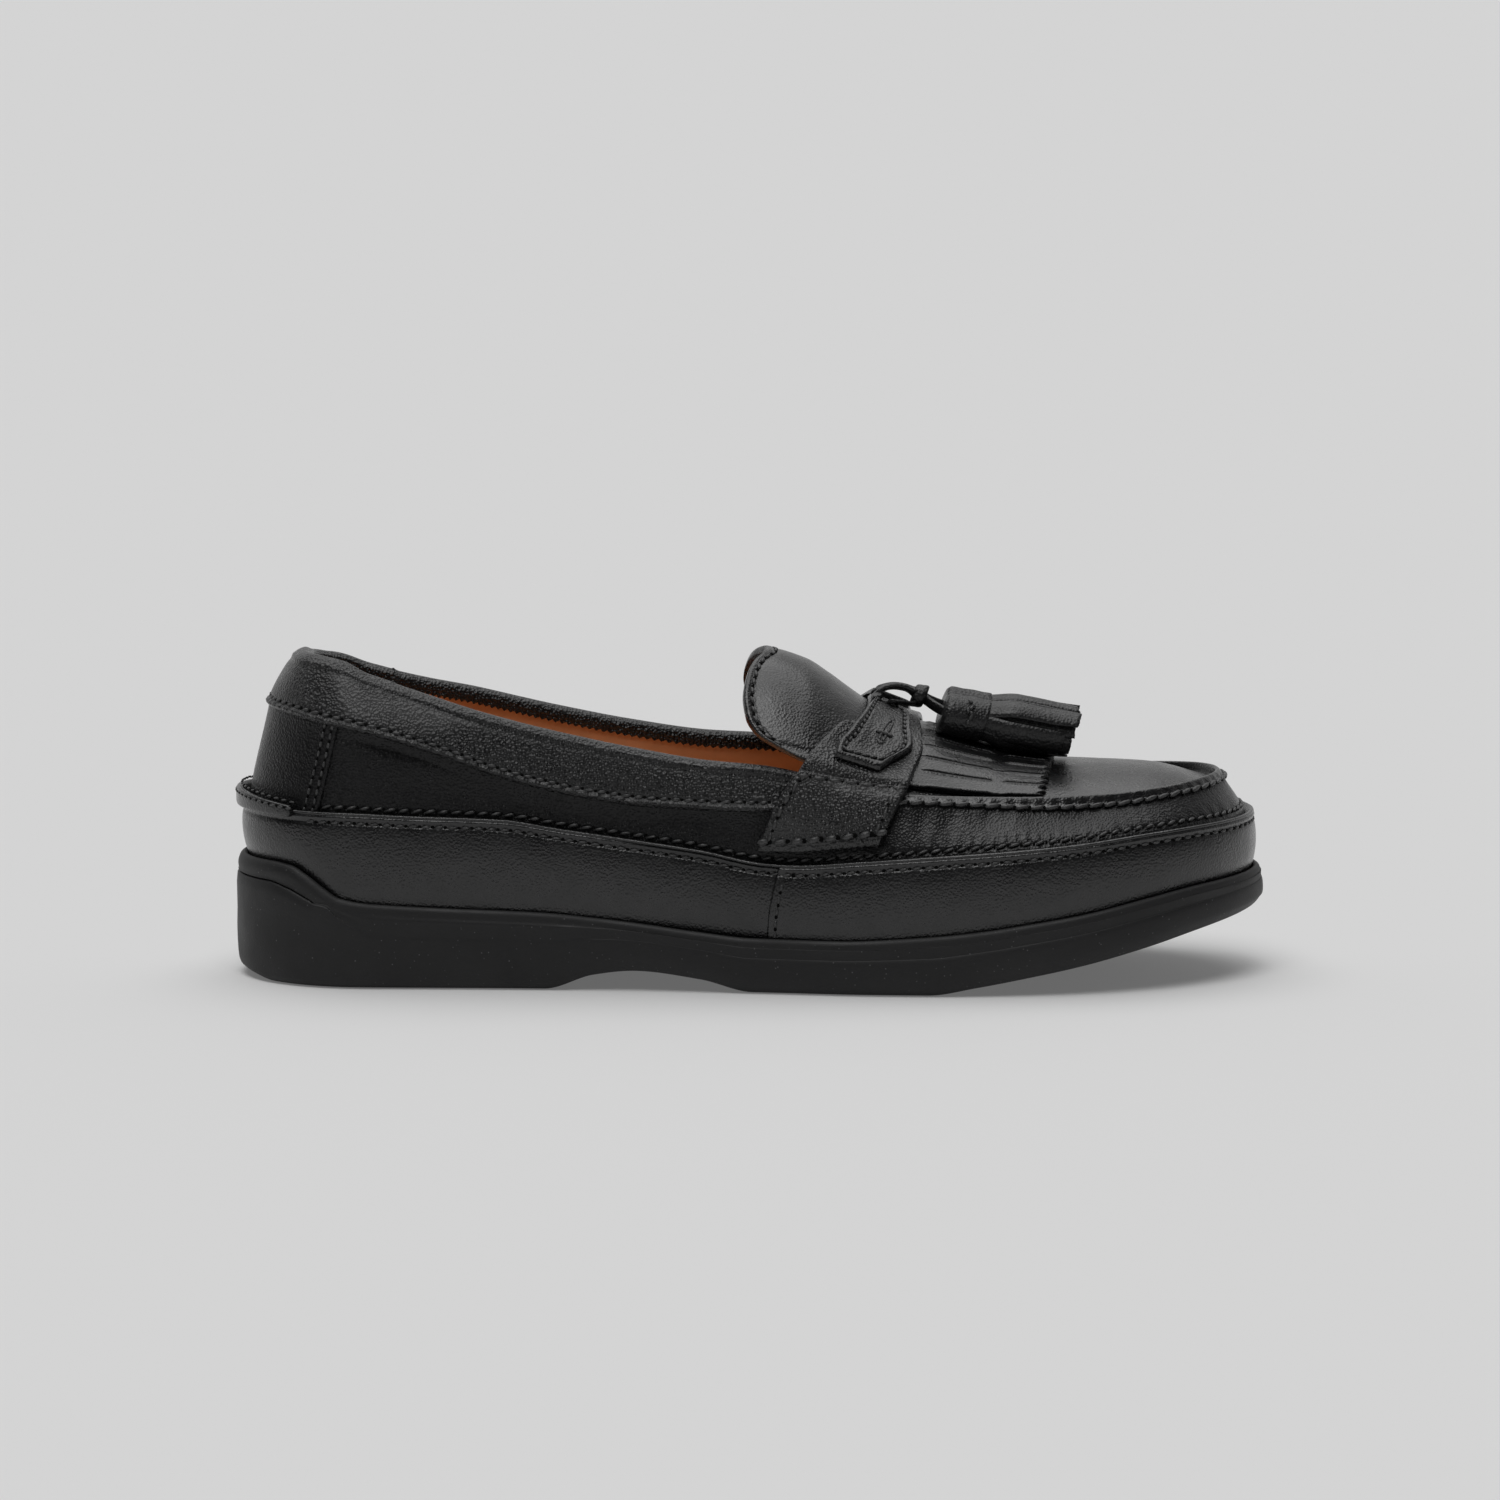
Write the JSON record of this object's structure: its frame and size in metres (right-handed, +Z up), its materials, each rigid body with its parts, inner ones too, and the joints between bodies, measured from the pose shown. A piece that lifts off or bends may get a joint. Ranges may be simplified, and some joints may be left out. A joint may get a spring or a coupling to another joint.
{
  "type": "tassel loafer",
  "caption": "Right tassel loafer: moccasin upper with raised apron seam, fringed kiltie under a saddle strap, thong with tassels, padded collar and rubber cup sole.",
  "frame": {"origin": "on the floor, under the middle of the shoe's length and width", "axes": "+X from the heel towards the toe, +Y towards the inner side of the foot, +Z up"},
  "size_m": [0.3002, 0.1088, 0.0955],
  "materials": {
    "smooth_leather": "black smooth leather with a soft gloss",
    "grained_leather": "black pebbled leather, semi-gloss",
    "tassel_leather": "black thin leather, soft gloss",
    "sole_rubber": "black matte moulded rubber",
    "insole_leather": "tan smooth lining leather"
  },
  "bodies": {
    "root": {"outsole": "sole_rubber", "upper": "smooth_leather", "tongue": "smooth_leather", "kiltie": "smooth_leather", "heel_strip": "smooth_leather", "strap": "grained_leather", "tab_outer": "grained_leather", "tab_inner": "grained_leather", "thong_outer": "tassel_leather", "thong_inner": "tassel_leather", "strand_outer": "tassel_leather", "strand_inner": "tassel_leather", "knot": "tassel_leather", "tassel_outer": "tassel_leather", "tassel_inner": "tassel_leather", "insole": "insole_leather"}
  },
  "joints": []
}
